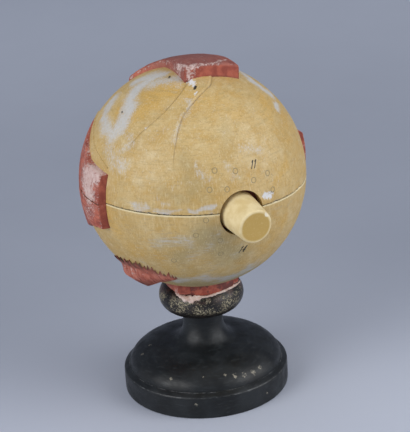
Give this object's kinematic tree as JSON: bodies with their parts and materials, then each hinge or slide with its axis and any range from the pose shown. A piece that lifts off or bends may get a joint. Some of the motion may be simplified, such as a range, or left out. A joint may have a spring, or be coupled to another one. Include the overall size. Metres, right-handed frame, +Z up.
{
  "type": "demountable eye anatomy model",
  "caption": "Enlarged model of a left human eye on a turned stand. The shell opens along its seam, and the nested parts lift out in turn.",
  "frame": {"origin": "the centre of the foot's underside, on the table", "axes": "+Z is up along the stem, the cornea faces -Y, the optic nerve leaves at the back on the +Y side, and +X is the temporal side"},
  "size_m": [0.1253, 0.1398, 0.1886],
  "materials": {
    "black_wood": "ebonised turned wood, satin and scuffed",
    "gilded_wood": "dark turned wood with worn gilding",
    "bare_plaster": "bare plaster",
    "steel": "plain steel",
    "brass": "turned brass",
    "sclera_paint": "plaster with worn ochre paint, satin",
    "muscle_paint": "plaster with scuffed brick-red paint",
    "choroid_paint": "plaster with dark red-brown paint",
    "retina_paint": "plaster with orange paint and fine red vessels",
    "ciliary_paint": "plaster with dark brown paint, ribbed",
    "nerve_paint": "plaster with smooth pale yellow paint",
    "clear_glass": "clear",
    "lens_glass": "clear, faintly yellow",
    "iris_paint": "plaster with blue-grey paint and fine radial lines"
  },
  "bodies": {
    "stand": {"foot": "black_wood", "collar": "gilded_wood", "seat_filler": "bare_plaster", "stem_rod": "steel", "stem_nut": "steel", "stem_washer": "steel", "shell_insert": "brass", "lower_sclera": "sclera_paint", "inferior_rectus": "muscle_paint", "inferior_oblique": "muscle_paint", "lateral_rectus_lower": "muscle_paint", "medial_rectus_lower": "muscle_paint", "shell_pegs": "steel"},
    "inner_lower": {"choroid_lower": "choroid_paint", "retina_lower": "retina_paint", "ciliary_lower": "ciliary_paint", "choroid_pegs": "steel", "optic_nerve": "nerve_paint"},
    "vitreous_ball": {"vitreous": "clear_glass"},
    "inner_upper": {"choroid_upper": "choroid_paint", "retina_upper": "retina_paint", "ciliary_upper": "ciliary_paint"},
    "upper_shell": {"upper_sclera": "sclera_paint", "superior_rectus": "muscle_paint", "superior_oblique": "sclera_paint", "lateral_rectus_upper": "muscle_paint", "medial_rectus_upper": "muscle_paint"},
    "lens_piece": {"lens": "lens_glass"},
    "iris_piece": {"iris": "iris_paint"},
    "cornea_piece": {"cornea": "clear_glass"}
  },
  "joints": [
    {"name": "inner_lower_lift", "type": "slide", "parent": "stand", "child": "inner_lower", "axis": [-0.0366, 0, 0.9993], "range_m": [0, 0.07]},
    {"name": "vitreous_lift", "type": "slide", "parent": "inner_lower", "child": "vitreous_ball", "axis": [-0.0366, 0, 0.9993], "range_m": [0, 0.065]},
    {"name": "inner_upper_lift", "type": "slide", "parent": "vitreous_ball", "child": "inner_upper", "axis": [-0.0366, 0, 0.9993], "range_m": [0, 0.06]},
    {"name": "upper_shell_lift", "type": "slide", "parent": "inner_upper", "child": "upper_shell", "axis": [-0.0366, 0, 0.9993], "range_m": [0, 0.07]},
    {"name": "lens_out", "type": "slide", "parent": "vitreous_ball", "child": "lens_piece", "axis": [0, -1, 0], "range_m": [0, 0.05]},
    {"name": "iris_out", "type": "slide", "parent": "lens_piece", "child": "iris_piece", "axis": [0, -1, 0], "range_m": [0, 0.04]},
    {"name": "cornea_out", "type": "slide", "parent": "iris_piece", "child": "cornea_piece", "axis": [0, -1, 0], "range_m": [0, 0.04]}
  ]
}
